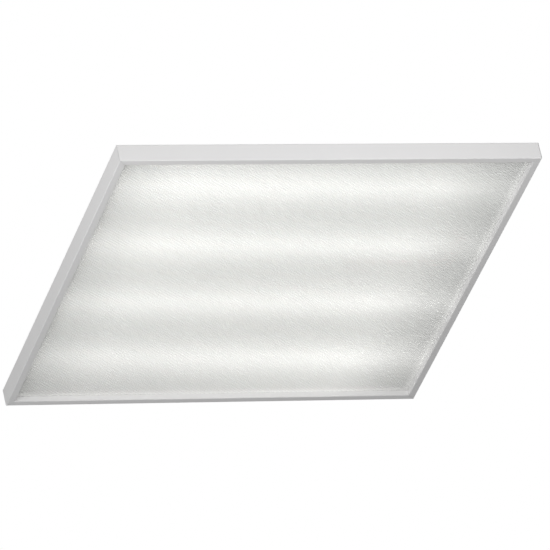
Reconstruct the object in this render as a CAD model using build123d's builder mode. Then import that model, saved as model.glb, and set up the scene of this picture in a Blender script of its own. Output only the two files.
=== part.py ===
from build123d import *
import os
from math import sqrt

# Recessed troffer light, a lay-in module for a ceiling grid of 600 mm.
# Millimetres. +Z points up into the ceiling void and the lit face looks down.
# The origin is the centre of the frame's underside, with X and Y along the frame.

os.makedirs("parts", exist_ok=True)

# ---------------------------------------------------------------- driving dimensions

# frame rail: one hollow section, mitred at the corners
module_side = 595.0
module_depth = 25.0
rail_wall = 1.2
lip_width = 10.0
reveal_depth = 8.5
groove_height = 2.8
groove_reach = 4.0
groove_rib = 1.0
seat_reach = 9.2
seat_drop = 1.2
fold_radius = 1.0
lip_edge_radius = 0.6
mitre_gap = 0.15

# corner keys in the rails' chamber
key_leg = 36.0
key_clearance = 0.2
grub_radius = 1.5
grub_length = 5.0
grub_recess = 0.3
grub_from_corner = 24.0
thread_clearance = 0.03

# diffuser
diffuser_thickness = 2.5
diffuser_edge_gap = 1.1

# back plate
plate_thickness = 0.8
plate_edge_gap = 0.3
plate_screw_inset = 5.4
plate_screw_from_corner = 47.5
plate_screw_radius = 1.45
plate_screw_head_radius = 2.8
plate_screw_head_height = 1.9
plate_screw_length = 4.6
plate_screw_recess_depth = 1.1
screw_hole_clearance = 0.2
bead_end_setback = 30.0
bead_width = 14.0
bead_height = 2.4
bead_edge_radius = 0.8

# reflector sheet
reflector_thickness = 0.5
reflector_edge_gap = 0.5
window_clearance = 1.0

# LED boards, in rows along X
board_count = 4
row_from_edge = 89.9
board_end_setback = 47.5
board_width = 20.0
board_thickness = 1.5
led_count = 28
led_from_board_end = 13.75
led_length = 3.5
led_width = 2.8
led_height = 0.8
led_window_radius = 1.1
led_window_depth = 0.15
rivet_count = 5
rivet_step = 6
rivet_radius = 1.6
rivet_head_radius = 2.8
rivet_head_height = 0.9
rivet_tail_radius = 2.3
rivet_tail_height = 1.2
rivet_clearance = 0.05

# board connectors and wires
connector_length = 8.0
connector_width = 6.0
connector_height = 4.0
connector_inset = 1.0
connector_entry_depth = 5.0
wire_radius = 0.9
wire_clearance = 0.15
wire_bend = 12.0
supply_entry_bend = 10.0
supply_turn_run = 13.0
right_link_run = 27.0
left_link_run = 21.0
clip_length = 9.0
clip_width = 7.0
clip_wall = 1.4

# suspension points
suspension_from_edge = 57.5
nut_bore_radius = 2.5
nut_barrel_radius = 3.5
nut_barrel_length = 9.0
nut_flange_radius = 5.0
nut_flange_height = 1.0
nut_bulge_radius = 4.6
nut_bulge_height = 2.5

# driver housing, in the middle of the back plate
driver_length = 168.0
driver_width = 46.0
driver_height = 28.0
driver_wall = 2.0
driver_floor = 2.0
driver_roof = 1.75
driver_corner_radius = 2.5
bay_length = 34.0
cover_gap = 0.25
ear_length = 12.0
ear_width = 11.0
ear_thickness = 3.0
ear_offset = 14.0
driver_screw_radius = 1.9
driver_screw_head_radius = 3.6
driver_screw_head_height = 2.4
driver_screw_length = 7.0
driver_screw_recess_depth = 1.4
lid_groove_count = 5
lid_groove_width = 2.0
lid_groove_depth = 0.6
lid_groove_end = 17.0

# cover hinges
hinge_radius = 2.0
hinge_pin_radius = 0.9
hinge_running_clearance = 0.06
hinge_side_gap = 0.4
hinge_to_lid = 1.0
hinge_ear_length = 5.0
thumb_tab_length = 2.5
thumb_tab_width = 12.0

# driver board and what stands on it
board_post_height = 3.0
board_post_radius = 2.2
board_post_from_end = 11.0
board_post_from_side = 4.0
driver_board_end_gap = 7.0
driver_board_side_gap = 1.0
driver_board_thickness = 1.6

# terminal blocks
pole_pitch = 6.0
terminal_length = 12.0
terminal_height = 12.0
terminal_side = 2.0
terminal_from_end = 19.0
entry_radius = 1.3
entry_height = 4.4
button_length = 2.6
button_width = 3.8
button_height = 6.3
button_proud = 1.8
button_slot_clearance = 0.3
pocket_depth = 9.0
cage_thickness = 0.4
cage_height = 2.2

# glands and grommet
inlet_bore_radius = 3.75
supply_bore_radius = 4.6
gland_wall = 1.6
gland_flange = 1.6
gland_flange_thickness = 1.8
gland_clearance = 0.05
grommet_run = 30.0
drop_bend_top = 8.0
drop_bend_bottom = 5.0

# what stands on the driver board, spread along it with equal gaps under the lid
core_length = 26.0
core_width = 24.0
core_height = 11.0
core_leg = 5.0
winding_wall = 3.2
winding_clearance = 0.25
bulk_capacitor_radius = 6.5
bulk_capacitor_height = 16.0
output_capacitor_offset = 9.0
output_capacitor_radius = 4.0
output_capacitor_height = 13.0
capacitor_rim = 0.8
choke_offset = 9.0
choke_radius = 5.6
choke_turn_radius = 2.8
film_capacitor_offset = 9.0
film_capacitor_length = 13.0
film_capacitor_width = 6.5
film_capacitor_height = 11.0
heatsink_length = 5.6
heatsink_width = 32.0
heatsink_height = 15.0
heatsink_web = 1.6
fin_count = 6
fin_thickness = 1.2

# earth stud and rating plate
earth_from_driver = 48.0
earth_offset = 13.0
stud_radius = 2.0
stud_height = 11.0
earth_nut_radius = 4.0
earth_nut_height = 3.2
tag_radius = 4.4
tag_thickness = 0.8
tag_barrel_length = 6.0
earth_wire_radius = 1.2
earth_run = 15.0
earth_run_in = 4.0
earth_rise_bend = 2.4
earth_bend = 9.0
rating_plate_length = 70.0
rating_plate_width = 40.0
rating_plate_thickness = 0.4
rating_plate_from_driver = 71.0
rating_plate_corner = 3.0

# ---------------------------------------------------------------- what follows from them

half_side = module_side / 2
ledge_top = reveal_depth
groove_top = ledge_top + groove_height
chamber_top = ledge_top - rail_wall
chamber_inner = lip_width - rail_wall
seat_top = module_depth - seat_drop
plate_top = seat_top + plate_thickness
plate_half = half_side - rail_wall - plate_edge_gap
reflector_half = half_side - seat_reach - reflector_edge_gap
board_low = seat_top - board_thickness
led_low = board_low - led_height
mitre_set = mitre_gap / sqrt(2)

row_spacing = (module_side - 2 * row_from_edge) / (board_count - 1)
board_length = module_side - 2 * board_end_setback
bead_length = board_length - 2 * bead_end_setback
suspension_spacing = module_side - 2 * suspension_from_edge
led_pitch = (board_length - 2 * led_from_board_end) / (led_count - 1)
row_places = [(row - (board_count - 1) / 2) * row_spacing for row in range(board_count)]
between_rows = [(row - (board_count - 2) / 2) * row_spacing for row in range(board_count - 1)]
rivet_pitch = rivet_step * led_pitch
rivet_places = [(i - (rivet_count - 1) / 2) * rivet_pitch for i in range(rivet_count)]
led_places = [(i - (led_count - 1) / 2) * led_pitch for i in range(led_count)]
plate_screw_end = half_side - plate_screw_from_corner
plate_screw_places = [-plate_screw_end, 0.0, plate_screw_end]
grub_place = half_side - grub_from_corner

driver_half = driver_length / 2
driver_side = driver_width / 2
bead_places = [y for y in between_rows if abs(y) > driver_side + bead_width]
wall_top = plate_top + driver_height - driver_roof - cover_gap
roof_low = plate_top + driver_height - driver_roof
driver_top = plate_top + driver_height
hinge_z = driver_top - hinge_radius
lid_half = driver_half - bay_length
hinge_x = lid_half + hinge_to_lid + hinge_radius
barrel_half = driver_side - driver_wall - hinge_side_gap
driver_board_length = driver_length - 2 * (driver_wall + driver_board_end_gap)
driver_board_width = driver_width - 2 * (driver_wall + driver_board_side_gap)
board_post_spacing_x = driver_board_length - 2 * board_post_from_end
board_post_spacing_y = driver_board_width - 2 * board_post_from_side
driver_board_low = plate_top + driver_floor + board_post_height
driver_board_top = driver_board_low + driver_board_thickness
terminal_x = driver_half - terminal_from_end
terminal_top = driver_board_top + terminal_height
entry_z = driver_board_top + entry_height
pocket_floor = terminal_top - pocket_depth
ear_x = driver_half + ear_length / 2
grommet_x = driver_half + grommet_run
earth_x = -driver_half - earth_from_driver
earth_y = -earth_offset
rating_plate_x = -driver_half - rating_plate_from_driver - rating_plate_length / 2

connector_x = board_length / 2 - connector_inset - connector_length / 2
connector_mouth = connector_x + connector_length / 2
wire_end = connector_mouth - connector_entry_depth + wire_clearance
wire_z = board_low - connector_height / 2
supply_turn_x = connector_mouth + supply_turn_run
right_link_x = connector_mouth + right_link_run
left_link_x = connector_mouth + left_link_run

# the faces across X at the driver's two ends, and the rows of poles in each block
ends = {"input": -1, "output": 1}
poles = {"input": ["live", "neutral", "earth"], "output": ["positive", "negative"]}


def pole_places(end_name):
    count = len(poles[end_name])
    return [(i - (count - 1) / 2) * pole_pitch for i in range(count)]


def across_rail(turn):
    """The plane across a rail: x runs inwards from its outer face and y runs up."""
    outward = Vector(1, 0, 0).rotate(Axis.Z, turn)
    along = Vector(0, 1, 0).rotate(Axis.Z, turn)
    return Plane(origin=outward * half_side, x_dir=outward * -1, z_dir=along)


def level(z, turn=0):
    """A level plane at height z, turned about Z."""
    return Plane.XY.offset(z).rotated((0, 0, turn))


# ---------------------------------------------------------------- frame

rail_turns = {
    "frame_rail_right": 0,
    "frame_rail_foot": 90,
    "frame_rail_left": 180,
    "frame_rail_head": 270,
}
corner = (Align.MIN, Align.MIN)

for rail_name, turn in rail_turns.items():
    with BuildPart() as frame_rail:
        with BuildSketch(across_rail(turn)) as rail_section:
            Rectangle(rail_wall, module_depth, align=corner)
            Rectangle(lip_width, rail_wall, align=corner)
            with Locations((chamber_inner, 0)):
                Rectangle(rail_wall, ledge_top, align=corner)
            with Locations((0, chamber_top)):
                Rectangle(lip_width, rail_wall, align=corner)
            with Locations((0, groove_top)):
                Rectangle(rail_wall + groove_reach, groove_rib, align=corner)
            with Locations((0, seat_top - rail_wall)):
                Rectangle(seat_reach, rail_wall, align=corner)
            outer_fold = rail_section.vertices().sort_by_distance((0, 0))[0]
            fillet(outer_fold, fold_radius)
            lip_edge = rail_section.vertices().sort_by_distance((lip_width, 0))[0]
            fillet(lip_edge, lip_edge_radius)
        extrude(amount=half_side, both=True)
        # the ends are cut along the frame's diagonals
        with BuildSketch(level(0, turn)):
            with BuildLine():
                Polyline(
                    (mitre_set, 0),
                    (module_side, module_side - mitre_set),
                    (module_side, mitre_set - module_side),
                    close=True,
                )
            make_face()
        extrude(amount=module_depth, mode=Mode.INTERSECT)
        # screw holes in the seat of the back plate
        with BuildSketch(level(seat_top, turn)):
            with Locations([(half_side - plate_screw_inset, y) for y in plate_screw_places]):
                Circle(plate_screw_radius + thread_clearance)
        extrude(amount=-rail_wall, mode=Mode.SUBTRACT)
        # grub screw holes in the ledge over the corner keys
        with BuildSketch(level(ledge_top, turn)):
            with Locations([(half_side - lip_width / 2, y) for y in (-grub_place, grub_place)]):
                Circle(grub_radius + thread_clearance)
        extrude(amount=-rail_wall, mode=Mode.SUBTRACT)
    frame_rail.part.label = rail_name
    export_step(frame_rail.part, f"parts/{rail_name}.step")

# an L in each corner of the chamber
key_outer = half_side - rail_wall - key_clearance
key_inner = half_side - chamber_inner + key_clearance
with BuildPart() as corner_keys:
    with BuildSketch(Plane.XY.offset(rail_wall + key_clearance)):
        for turn in rail_turns.values():
            with Locations(Location((0, 0, 0), (0, 0, turn))):
                with Locations((key_outer, key_outer)):
                    Rectangle(key_leg, key_outer - key_inner, align=(Align.MAX, Align.MAX))
                    Rectangle(key_outer - key_inner, key_leg, align=(Align.MAX, Align.MAX))
    extrude(amount=chamber_top - rail_wall - 2 * key_clearance)
    with BuildSketch(Plane.XY.offset(chamber_top)):
        for turn in rail_turns.values():
            with Locations(Location((0, 0, 0), (0, 0, turn))):
                with Locations([(half_side - lip_width / 2, y) for y in (-grub_place, grub_place)]):
                    Circle(grub_radius + thread_clearance)
    extrude(amount=-chamber_top, mode=Mode.SUBTRACT)
corner_keys.part.label = "corner_keys"
export_step(corner_keys.part, "parts/corner_keys.step")

with BuildPart() as corner_grub_screws:
    with BuildSketch(Plane.XY.offset(ledge_top - grub_recess)):
        for turn in rail_turns.values():
            with Locations(Location((0, 0, 0), (0, 0, turn))):
                with Locations([(half_side - lip_width / 2, y) for y in (-grub_place, grub_place)]):
                    Circle(grub_radius)
    extrude(amount=-grub_length)
    grub_tops = corner_grub_screws.faces().filter_by(Axis.Z).group_by(Axis.Z)[-1]
    with BuildSketch(Plane.XY.offset(ledge_top - grub_recess)):
        with Locations([(face.center().X, face.center().Y) for face in grub_tops]):
            RegularPolygon(grub_radius / 2, 6)
    extrude(amount=-grub_radius, mode=Mode.SUBTRACT)
corner_grub_screws.part.label = "corner_grub_screws"
export_step(corner_grub_screws.part, "parts/corner_grub_screws.step")

# ---------------------------------------------------------------- diffuser

with BuildPart() as diffuser:
    diffuser_side = module_side - 2 * (rail_wall + diffuser_edge_gap)
    with BuildSketch(Plane.XY.offset(ledge_top)):
        Rectangle(diffuser_side, diffuser_side)
    extrude(amount=diffuser_thickness)
diffuser.part.label = "diffuser"
export_step(diffuser.part, "parts/diffuser.step")

# ---------------------------------------------------------------- back plate and reflector

plate_hole_radius = plate_screw_radius + screw_hole_clearance
suspension_half = suspension_spacing / 2
grommet_body_radius = supply_bore_radius + gland_wall
ear_places = [(x, y) for x in (-ear_x, ear_x) for y in (-ear_offset, ear_offset)]
board_rivet_places = [(x, y) for x in rivet_places for y in row_places]

with BuildPart() as back_plate:
    with BuildSketch(Plane.XY.offset(seat_top)):
        Rectangle(2 * plate_half, 2 * plate_half)
    extrude(amount=plate_thickness)
    with BuildSketch(Plane.XY.offset(plate_top)):
        with Locations([(0, y) for y in bead_places]):
            SlotOverall(bead_length, bead_width)
    extrude(amount=bead_height)
    bead_rims = back_plate.faces().filter_by(Axis.Z).group_by(Axis.Z)[-1].edges()
    fillet(bead_rims, bead_edge_radius)
    # the beads are pressed, so they are hollow from below
    with BuildSketch(Plane.XY.offset(seat_top)):
        with Locations([(0, y) for y in bead_places]):
            SlotOverall(bead_length - 2 * plate_thickness, bead_width - 2 * plate_thickness)
    extrude(amount=bead_height, mode=Mode.SUBTRACT)
    with BuildSketch(Plane.XY.offset(seat_top)):
        for turn in rail_turns.values():
            with Locations(Location((0, 0, 0), (0, 0, turn))):
                with Locations([(half_side - plate_screw_inset, y) for y in plate_screw_places]):
                    Circle(plate_hole_radius)
        with Locations(board_rivet_places):
            Circle(rivet_radius + rivet_clearance)
        with GridLocations(suspension_spacing, suspension_spacing, 2, 2):
            Circle(nut_barrel_radius + thread_clearance)
        with Locations(ear_places):
            Circle(driver_screw_radius + thread_clearance)
        with Locations((grommet_x, 0)):
            Circle(grommet_body_radius + gland_clearance)
        with Locations((earth_x, earth_y)):
            Circle(stud_radius + thread_clearance)
    extrude(amount=plate_thickness, mode=Mode.SUBTRACT)
back_plate.part.label = "back_plate"
export_step(back_plate.part, "parts/back_plate.step")

with BuildPart() as plate_screws:
    with BuildSketch(Plane.XY.offset(plate_top)) as screw_heads:
        for turn in rail_turns.values():
            with Locations(Location((0, 0, 0), (0, 0, turn))):
                with Locations([(half_side - plate_screw_inset, y) for y in plate_screw_places]):
                    Circle(plate_screw_head_radius)
    extrude(amount=plate_screw_head_height)
    head_rims = plate_screws.faces().filter_by(Axis.Z).group_by(Axis.Z)[-1].edges()
    fillet(head_rims, plate_screw_head_height / 2)
    with BuildSketch(Plane.XY.offset(plate_top)):
        for turn in rail_turns.values():
            with Locations(Location((0, 0, 0), (0, 0, turn))):
                with Locations([(half_side - plate_screw_inset, y) for y in plate_screw_places]):
                    Circle(plate_screw_radius)
    extrude(amount=-plate_screw_length)
    # cross recess
    with BuildSketch(Plane.XY.offset(plate_top + plate_screw_head_height)):
        for turn in rail_turns.values():
            with Locations(Location((0, 0, 0), (0, 0, turn))):
                with Locations([(half_side - plate_screw_inset, y) for y in plate_screw_places]):
                    Rectangle(plate_screw_head_radius, plate_screw_head_radius / 4)
                    Rectangle(plate_screw_head_radius / 4, plate_screw_head_radius)
    extrude(amount=-plate_screw_recess_depth, mode=Mode.SUBTRACT)
plate_screws.part.label = "plate_screws"
export_step(plate_screws.part, "parts/plate_screws.step")

with BuildPart() as reflector_sheet:
    with BuildSketch(Plane.XY.offset(seat_top)):
        Rectangle(2 * reflector_half, 2 * reflector_half)
        with Locations([(0, y) for y in row_places]):
            Rectangle(
                board_length + 2 * window_clearance,
                board_width + 2 * window_clearance,
                mode=Mode.SUBTRACT,
            )
        with GridLocations(suspension_spacing, suspension_spacing, 2, 2):
            Circle(nut_bulge_radius + window_clearance, mode=Mode.SUBTRACT)
        with Locations(ear_places):
            Circle(driver_screw_radius + window_clearance, mode=Mode.SUBTRACT)
        with Locations((grommet_x, 0)):
            Circle(grommet_body_radius + gland_flange + window_clearance, mode=Mode.SUBTRACT)
        with Locations((earth_x, earth_y)):
            Circle(stud_radius + window_clearance, mode=Mode.SUBTRACT)
    extrude(amount=-reflector_thickness)
reflector_sheet.part.label = "reflector_sheet"
export_step(reflector_sheet.part, "parts/reflector_sheet.step")

# ---------------------------------------------------------------- LED boards

for row, row_y in enumerate(row_places, start=1):
    with BuildPart() as led_board:
        with BuildSketch(Plane.XY.offset(board_low)):
            with Locations((0, row_y)):
                Rectangle(board_length, board_width)
            with Locations([(x, row_y) for x in rivet_places]):
                Circle(rivet_radius + rivet_clearance, mode=Mode.SUBTRACT)
        extrude(amount=board_thickness)
    led_board.part.label = f"led_board_{row}"
    export_step(led_board.part, f"parts/led_board_{row}.step")

    with BuildPart() as led_row:
        with BuildSketch(Plane.XY.offset(led_low)):
            with Locations([(x, row_y) for x in led_places]):
                Rectangle(led_width, led_length)
        extrude(amount=led_height)
        # the round window over the phosphor
        with BuildSketch(Plane.XY.offset(led_low)):
            with Locations([(x, row_y) for x in led_places]):
                Circle(led_window_radius)
        extrude(amount=led_window_depth, mode=Mode.SUBTRACT)
    led_row.part.label = f"led_row_{row}"
    export_step(led_row.part, f"parts/led_row_{row}.step")

connector_places = [(side * connector_x, y) for side in (-1, 1) for y in row_places]
with BuildPart() as board_connectors:
    with BuildSketch(Plane.XY.offset(board_low)):
        with Locations(connector_places):
            Rectangle(connector_length, connector_width)
    extrude(amount=-connector_height)
    fillet(board_connectors.edges().filter_by(Axis.Z), connector_inset / 2)
    # wire entries in the outer ends
    for side in (-1, 1):
        entry_face = Plane(origin=(side * connector_mouth, 0, wire_z), x_dir=(0, 1, 0), z_dir=(side, 0, 0))
        with BuildSketch(entry_face):
            with Locations([(y, 0) for y in row_places]):
                Circle(wire_radius + wire_clearance)
        extrude(amount=-connector_entry_depth, mode=Mode.SUBTRACT)
board_connectors.part.label = "board_connectors"
export_step(board_connectors.part, "parts/board_connectors.step")

rivet_low = board_low - rivet_head_height
with BuildPart() as board_rivets:
    with BuildSketch(Plane.XY.offset(rivet_low)):
        with Locations(board_rivet_places):
            Circle(rivet_head_radius)
    extrude(amount=rivet_head_height)
    fillet(board_rivets.faces().filter_by(Axis.Z).group_by(Axis.Z)[0].edges(), rivet_head_height / 2)
    with BuildSketch(Plane.XY.offset(plate_top)):
        with Locations(board_rivet_places):
            Circle(rivet_tail_radius)
    extrude(amount=rivet_tail_height)
    fillet(board_rivets.faces().filter_by(Axis.Z).group_by(Axis.Z)[-1].edges(), rivet_tail_height / 2)
    with BuildSketch(Plane.XY.offset(board_low)):
        with Locations(board_rivet_places):
            Circle(rivet_radius)
    extrude(amount=board_thickness + plate_thickness)
board_rivets.part.label = "board_rivets"
export_step(board_rivets.part, "parts/board_rivets.step")

# ---------------------------------------------------------------- wires

inner_rows = (row_places[1], row_places[2])
outer_rows = (row_places[0], row_places[3])


def wire_tube(points, radii, radius, normal):
    """One insulated wire along straight runs joined by round bends."""
    with BuildPart() as tube:
        with BuildLine() as route:
            FilletPolyline(*points, radius=radii)
        with BuildSketch(Plane(origin=points[0], z_dir=normal)):
            Circle(radius)
        sweep(path=route.line)
    return tube


def link_points(side, turn_x, row_a, row_b):
    return [
        (side * wire_end, row_a, wire_z),
        (side * turn_x, row_a, wire_z),
        (side * turn_x, row_b, wire_z),
        (side * wire_end, row_b, wire_z),
    ]


links = {
    "link_wire_left_a": (-1, left_link_x, row_places[0], row_places[1]),
    "link_wire_left_b": (-1, left_link_x, row_places[2], row_places[3]),
    "link_wire_right": (1, right_link_x, *outer_rows),
}
for link_name, (side, turn_x, row_a, row_b) in links.items():
    link_wire = wire_tube(
        link_points(side, turn_x, row_a, row_b), [wire_bend, wire_bend], wire_radius, (side, 0, 0)
    )
    link_wire.part.label = link_name
    export_step(link_wire.part, f"parts/{link_name}.step")

# from the driver's output terminals, down through the back plate, to the two inner boards
pocket_length = button_length + 2 * button_slot_clearance
pocket_width = button_width + 2 * button_slot_clearance
supply_start = terminal_x - pocket_length / 2 + cage_thickness
output_poles = pole_places("output")
for pole_name, pole_y, row_y in zip(poles["output"], output_poles, inner_rows):
    supply_points = [
        (supply_start, pole_y, entry_z),
        (grommet_x, pole_y, entry_z),
        (grommet_x, pole_y, wire_z),
        (supply_turn_x, pole_y, wire_z),
        (supply_turn_x, row_y, wire_z),
        (wire_end, row_y, wire_z),
    ]
    supply_radii = [drop_bend_top, drop_bend_bottom, wire_bend, supply_entry_bend]
    supply_wire = wire_tube(supply_points, supply_radii, wire_radius, (1, 0, 0))
    supply_wire.part.label = f"supply_wire_{pole_name}"
    export_step(supply_wire.part, f"parts/supply_wire_{pole_name}.step")

# saddles glued under the reflector sheet
clip_top = seat_top - reflector_thickness
clip_low = wire_z - wire_radius - clip_wall
clip_hole = wire_radius + wire_clearance
right_clips = [(right_link_x, y) for y in between_rows]
left_clips = [(-left_link_x, y) for y in (between_rows[0], between_rows[-1])]
supply_clip_step = (supply_turn_x - grommet_x) / 3
supply_clips = [(grommet_x + supply_clip_step * n, 0) for n in (1, 2)]
supply_clip_width = 2 * (output_poles[-1] + clip_hole + clip_wall)
with BuildPart() as wire_clips:
    with BuildSketch(Plane.XY.offset(clip_low)):
        with Locations(right_clips + left_clips):
            RectangleRounded(clip_width, clip_length, clip_wall)
        with Locations(supply_clips):
            RectangleRounded(clip_length, supply_clip_width, clip_wall)
    extrude(amount=clip_top - clip_low)
    with BuildSketch(Plane.XZ):
        with Locations((right_link_x, wire_z), (-left_link_x, wire_z)):
            Circle(clip_hole)
    extrude(amount=half_side, both=True, mode=Mode.SUBTRACT)
    with BuildSketch(Plane.YZ):
        with Locations([(y, wire_z) for y in output_poles]):
            Circle(clip_hole)
    extrude(amount=supply_turn_x - wire_bend, mode=Mode.SUBTRACT)
wire_clips.part.label = "wire_clips"
export_step(wire_clips.part, "parts/wire_clips.step")

# ---------------------------------------------------------------- grommet and glands


def rubber_bush(middle, bore_radius, panel_thickness):
    """A bush with a groove for the panel that it is pressed into; middle is a plane in that panel."""
    body_radius = bore_radius + gland_wall
    flange_radius = body_radius + gland_flange
    half_panel = panel_thickness / 2
    with BuildPart() as bush:
        with BuildSketch(middle):
            Circle(body_radius)
        extrude(amount=half_panel + gland_flange_thickness, both=True)
        for direction in (-1, 1):
            with BuildSketch(middle.offset(direction * half_panel)):
                Circle(flange_radius)
            extrude(amount=direction * gland_flange_thickness)
        rims = bush.edges().filter_by(GeomType.CIRCLE).group_by(SortBy.RADIUS)[-1]
        fillet(rims, gland_flange_thickness / 4)
        with BuildSketch(middle):
            Circle(bore_radius)
        extrude(amount=half_panel + gland_flange_thickness, both=True, mode=Mode.SUBTRACT)
    return bush


plate_grommet = rubber_bush(
    Plane(origin=(grommet_x, 0, seat_top + plate_thickness / 2), z_dir=(0, 0, 1)),
    supply_bore_radius,
    plate_thickness,
)
plate_grommet.part.label = "plate_grommet"
export_step(plate_grommet.part, "parts/plate_grommet.step")

gland_bores = {"input": inlet_bore_radius, "output": supply_bore_radius}
for end_name, end in ends.items():
    end_gland = rubber_bush(
        Plane(origin=(end * (driver_half - driver_wall / 2), 0, entry_z), z_dir=(end, 0, 0)),
        gland_bores[end_name],
        driver_wall,
    )
    end_gland.part.label = f"{end_name}_gland"
    export_step(end_gland.part, f"parts/{end_name}_gland.step")

# ---------------------------------------------------------------- driver housing

with BuildPart() as driver_base:
    with BuildSketch(Plane.XY.offset(plate_top)):
        RectangleRounded(driver_length, driver_width, driver_corner_radius)
    extrude(amount=wall_top - plate_top)
    # hinge ears, round about the pin, cut to the side walls with the hollow
    with BuildSketch(Plane.XZ):
        for end in ends.values():
            with Locations((end * hinge_x, hinge_z)):
                Circle(hinge_ear_length / 2)
                Rectangle(hinge_ear_length, hinge_ear_length, align=(Align.CENTER, Align.MAX))
        with Locations((0, driver_top)):
            Rectangle(driver_length, hinge_ear_length, align=(Align.CENTER, Align.MIN), mode=Mode.SUBTRACT)
    extrude(amount=driver_side, both=True)
    with BuildSketch(Plane.XY.offset(plate_top + driver_floor)):
        Rectangle(driver_length - 2 * driver_wall, driver_width - 2 * driver_wall)
    extrude(amount=driver_height, mode=Mode.SUBTRACT)
    # fixing ears
    with BuildSketch(Plane.XY.offset(plate_top)):
        with Locations(ear_places):
            RectangleRounded(ear_length + 2 * driver_wall, ear_width, driver_corner_radius)
        Rectangle(driver_length - 2 * driver_wall, driver_width, mode=Mode.SUBTRACT)
    extrude(amount=ear_thickness)
    with BuildSketch(Plane.XY.offset(plate_top)):
        with Locations(ear_places):
            Circle(driver_screw_radius + screw_hole_clearance)
    extrude(amount=ear_thickness, mode=Mode.SUBTRACT)
    # posts that carry the circuit board
    with BuildSketch(Plane.XY.offset(plate_top + driver_floor)):
        with GridLocations(board_post_spacing_x, board_post_spacing_y, 2, 2):
            Circle(board_post_radius)
    extrude(amount=board_post_height)
    # holes for the glands and the hinge pins
    for end_name, end in ends.items():
        with BuildSketch(Plane(origin=(end * driver_half, 0, entry_z), z_dir=(end, 0, 0))):
            Circle(gland_bores[end_name] + gland_wall + gland_clearance)
        extrude(amount=-driver_wall, mode=Mode.SUBTRACT)
    with BuildSketch(Plane.XZ):
        with Locations([(end * hinge_x, hinge_z) for end in ends.values()]):
            Circle(hinge_pin_radius + thread_clearance)
    extrude(amount=driver_side, both=True, mode=Mode.SUBTRACT)
    # hole for the earth lead
    with BuildSketch(Plane(origin=(-driver_half, earth_y, entry_z), z_dir=(-1, 0, 0))):
        Circle(earth_wire_radius + wire_clearance)
    extrude(amount=-driver_wall, mode=Mode.SUBTRACT)
driver_base.part.label = "driver_base"
export_step(driver_base.part, "parts/driver_base.step")

# the lid over the circuit board, with a partition down to the board at each end
partition_low = driver_board_top + cover_gap
with BuildPart() as driver_lid:
    with BuildSketch(Plane.XY.offset(wall_top)):
        Rectangle(2 * lid_half, driver_width)
    extrude(amount=driver_top - wall_top)
    fillet(driver_lid.faces().sort_by(Axis.Z)[-1].edges().filter_by(Axis.X), driver_roof / 2)
    with BuildSketch(Plane.XY.offset(wall_top)):
        with Locations([(end * (lid_half - driver_wall), 0) for end in ends.values()]):
            Rectangle(driver_wall, driver_width - 2 * driver_wall - 2 * cover_gap)
    extrude(amount=partition_low - wall_top)
    # shallow grooves along the lid
    with BuildSketch(Plane.XY.offset(driver_top)):
        with GridLocations(0, 3 * lid_groove_width, 1, lid_groove_count):
            SlotOverall(2 * (lid_half - lid_groove_end), lid_groove_width)
    extrude(amount=-lid_groove_depth, mode=Mode.SUBTRACT)
driver_lid.part.label = "driver_lid"
export_step(driver_lid.part, "parts/driver_lid.step")

with BuildPart() as driver_screws:
    with BuildSketch(Plane.XY.offset(plate_top + ear_thickness)):
        with Locations(ear_places):
            Circle(driver_screw_head_radius)
    extrude(amount=driver_screw_head_height)
    fillet(
        driver_screws.faces().filter_by(Axis.Z).group_by(Axis.Z)[-1].edges(), driver_screw_head_height / 2
    )
    with BuildSketch(Plane.XY.offset(plate_top + ear_thickness)):
        with Locations(ear_places):
            Circle(driver_screw_radius)
    extrude(amount=-driver_screw_length)
    with BuildSketch(Plane.XY.offset(plate_top + ear_thickness + driver_screw_head_height)):
        with Locations(ear_places):
            Rectangle(driver_screw_head_radius, driver_screw_head_radius / 4)
            Rectangle(driver_screw_head_radius / 4, driver_screw_head_radius)
    extrude(amount=-driver_screw_recess_depth, mode=Mode.SUBTRACT)
driver_screws.part.label = "driver_screws"
export_step(driver_screws.part, "parts/driver_screws.step")

# ---------------------------------------------------------------- terminal covers

ear_gap = hinge_ear_length / 2 + hinge_side_gap
for end_name, end in ends.items():
    outwards = (Align.MIN if end > 0 else Align.MAX, Align.CENTER)
    with BuildPart() as terminal_cover:
        with BuildSketch(Plane.XY.offset(roof_low)):
            with Locations((end * (hinge_x + ear_gap), 0)):
                Rectangle(driver_half - hinge_x - ear_gap, driver_width, align=outwards)
            with Locations((end * hinge_x, 0)):
                Rectangle(2 * ear_gap, 2 * barrel_half, align=outwards)
            with Locations((end * driver_half, 0)):
                Rectangle(thumb_tab_length, thumb_tab_width, align=outwards)
        extrude(amount=driver_roof)
        with BuildSketch(Plane.XZ):
            with Locations((end * hinge_x, hinge_z)):
                Circle(hinge_radius)
        extrude(amount=barrel_half, both=True)
        with BuildSketch(Plane.XZ):
            with Locations((end * hinge_x, hinge_z)):
                Circle(hinge_pin_radius + hinge_running_clearance)
        extrude(amount=driver_side, both=True, mode=Mode.SUBTRACT)
    terminal_cover.part.label = f"{end_name}_cover"
    export_step(terminal_cover.part, f"parts/{end_name}_cover.step")

with BuildPart() as hinge_pins:
    with BuildSketch(Plane.XZ):
        with Locations([(end * hinge_x, hinge_z) for end in ends.values()]):
            Circle(hinge_pin_radius)
    extrude(amount=driver_side, both=True)
hinge_pins.part.label = "hinge_pins"
export_step(hinge_pins.part, "parts/hinge_pins.step")

# ---------------------------------------------------------------- driver board

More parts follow.
